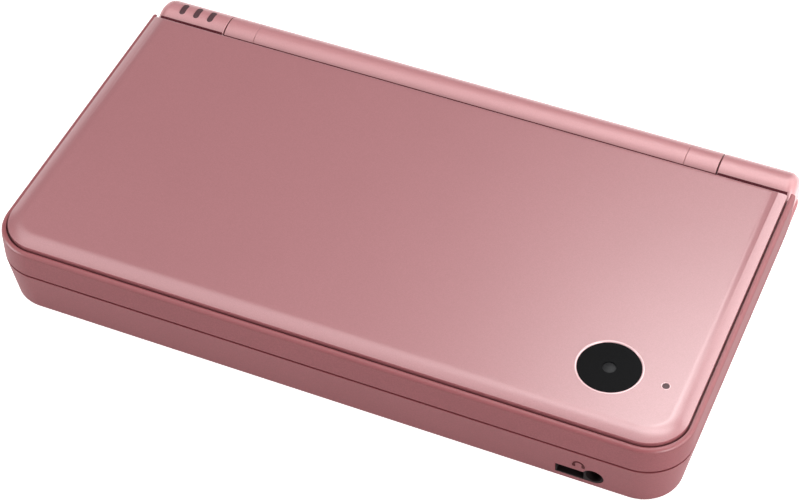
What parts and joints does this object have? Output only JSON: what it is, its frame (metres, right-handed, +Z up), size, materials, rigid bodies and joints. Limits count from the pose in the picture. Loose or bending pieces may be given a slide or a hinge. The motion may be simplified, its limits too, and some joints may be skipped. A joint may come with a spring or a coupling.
{
  "type": "clamshell handheld game console",
  "caption": "Folding handheld game console with two screens, controls on the lower half, shoulder triggers, stylus, card slots and a hinged lid.",
  "frame": {"origin": "middle of the underside, on the surface that the rubber feet stand on", "axes": "+X to the player's right, +Y towards the hinge, +Z up through the closed lid"},
  "size_m": [0.161, 0.0914, 0.0212],
  "materials": {
    "rose_satin": "satin metallic rose paint",
    "rose_matte": "matte rose plastic",
    "inner_white": "matte off-white plastic",
    "gloss_black": "gloss black",
    "screen_glass": "dark glass",
    "smoked_clear": "smoked light guide",
    "black_plastic": "matte black plastic",
    "board_green": "solder mask",
    "steel": "plain steel",
    "spring_steel": "plain stamped steel",
    "rubber_grey": "matte rubber",
    "rubber_pale": "matte pale rubber",
    "ribbon_amber": "polyimide film",
    "battery_wrap": "matte wrap"
  },
  "bodies": {
    "base": {"base_bottom_shell": "rose_matte", "base_top_shell": "inner_white", "left_hinge_housing": "rose_satin", "right_hinge_housing": "rose_satin", "status_windows": "smoked_clear", "battery_cover": "rose_matte", "battery_cover_screws": "steel", "battery_pack": "battery_wrap", "case_screws": "steel", "rubber_feet": "rubber_grey", "touch_glass": "screen_glass", "lower_screen_panel": "black_plastic", "main_board": "board_green", "d_pad_board": "board_green", "card_socket": "spring_steel", "sd_socket": "spring_steel", "power_jack": "black_plastic", "headphone_jack": "black_plastic", "radio_module": "spring_steel", "face_button_mat": "rubber_pale", "d_pad_mat": "rubber_pale", "trigger_pins": "steel", "strap_bar": "steel"},
    "lid": {"lid_cover": "rose_satin", "lid_frame": "rose_matte", "lid_bezel": "inner_white", "hinge_cover": "rose_satin", "upper_screen_window": "screen_glass", "upper_screen_panel": "black_plastic", "left_speaker": "black_plastic", "right_speaker": "black_plastic", "camera_window": "gloss_black", "camera_lens": "screen_glass", "camera_module": "black_plastic", "camera_indicator": "smoked_clear", "inner_camera_window": "gloss_black", "inner_camera_module": "black_plastic", "microphone": "steel", "lid_magnet": "steel", "lid_screws": "steel", "lid_bumpers": "rubber_pale", "hinge_click_unit": "steel", "hinge_bush": "steel", "screen_ribbon": "ribbon_amber"},
    "d_pad_pivot": {"d_pad_pivot": "rubber_pale"},
    "d_pad": {"d_pad": "inner_white"},
    "a_button": {"a_button": "inner_white"},
    "b_button": {"b_button": "inner_white"},
    "x_button": {"x_button": "inner_white"},
    "y_button": {"y_button": "inner_white"},
    "start_button": {"start_button": "inner_white"},
    "select_button": {"select_button": "inner_white"},
    "power_button": {"power_button": "inner_white"},
    "volume_up_button": {"volume_up_button": "rose_matte"},
    "volume_down_button": {"volume_down_button": "rose_matte"},
    "left_trigger": {"left_trigger": "rose_matte"},
    "right_trigger": {"right_trigger": "rose_matte"},
    "stylus": {"stylus": "rose_matte"},
    "sd_door": {"sd_door": "rose_matte"}
  },
  "joints": [
    {"name": "lid_hinge", "type": "hinge", "parent": "base", "child": "lid", "pos_m": [0, 0.03998, 0.01407], "axis": [-1, 0, 0], "range_deg": [0, 152]},
    {"name": "d_pad_tilt_front_back", "type": "hinge", "parent": "base", "child": "d_pad_pivot", "pos_m": [-0.0619, 0.006, 0.0086], "axis": [1, 0, 0], "range_deg": [-2, 2]},
    {"name": "d_pad_tilt_left_right", "type": "hinge", "parent": "d_pad_pivot", "child": "d_pad", "pos_m": [-0.0619, 0.006, 0.0086], "axis": [0, 1, 0], "range_deg": [-2, 2]},
    {"name": "a_press", "type": "slide", "parent": "base", "child": "a_button", "axis": [0, 0, -1], "range_m": [0, 0.0007]},
    {"name": "b_press", "type": "slide", "parent": "base", "child": "b_button", "axis": [0, 0, -1], "range_m": [0, 0.0007]},
    {"name": "x_press", "type": "slide", "parent": "base", "child": "x_button", "axis": [0, 0, -1], "range_m": [0, 0.0007]},
    {"name": "y_press", "type": "slide", "parent": "base", "child": "y_button", "axis": [0, 0, -1], "range_m": [0, 0.0007]},
    {"name": "start_press", "type": "slide", "parent": "base", "child": "start_button", "axis": [0, 0, -1], "range_m": [0, 0.0007]},
    {"name": "select_press", "type": "slide", "parent": "base", "child": "select_button", "axis": [0, 0, -1], "range_m": [0, 0.0007]},
    {"name": "power_press", "type": "slide", "parent": "base", "child": "power_button", "axis": [0, 0, -1], "range_m": [0, 0.0007]},
    {"name": "volume_up_press", "type": "slide", "parent": "base", "child": "volume_up_button", "axis": [1, 0, 0], "range_m": [0, 0.0004]},
    {"name": "volume_down_press", "type": "slide", "parent": "base", "child": "volume_down_button", "axis": [1, 0, 0], "range_m": [0, 0.0004]},
    {"name": "left_trigger_press", "type": "hinge", "parent": "base", "child": "left_trigger", "pos_m": [-0.058, 0.0424, 0.004], "axis": [0, 0, 1], "range_deg": [0, 2]},
    {"name": "right_trigger_press", "type": "hinge", "parent": "base", "child": "right_trigger", "pos_m": [0.058, 0.0424, 0.004], "axis": [0, 0, -1], "range_deg": [0, 2]},
    {"name": "stylus_slide", "type": "slide", "parent": "base", "child": "stylus", "axis": [1, 0, 0], "range_m": [0, 0.095]},
    {"name": "sd_door_swing", "type": "hinge", "parent": "base", "child": "sd_door", "pos_m": [0.07859, 0.004, 0.0029], "axis": [0, 1, 0], "range_deg": [0, 95]}
  ]
}
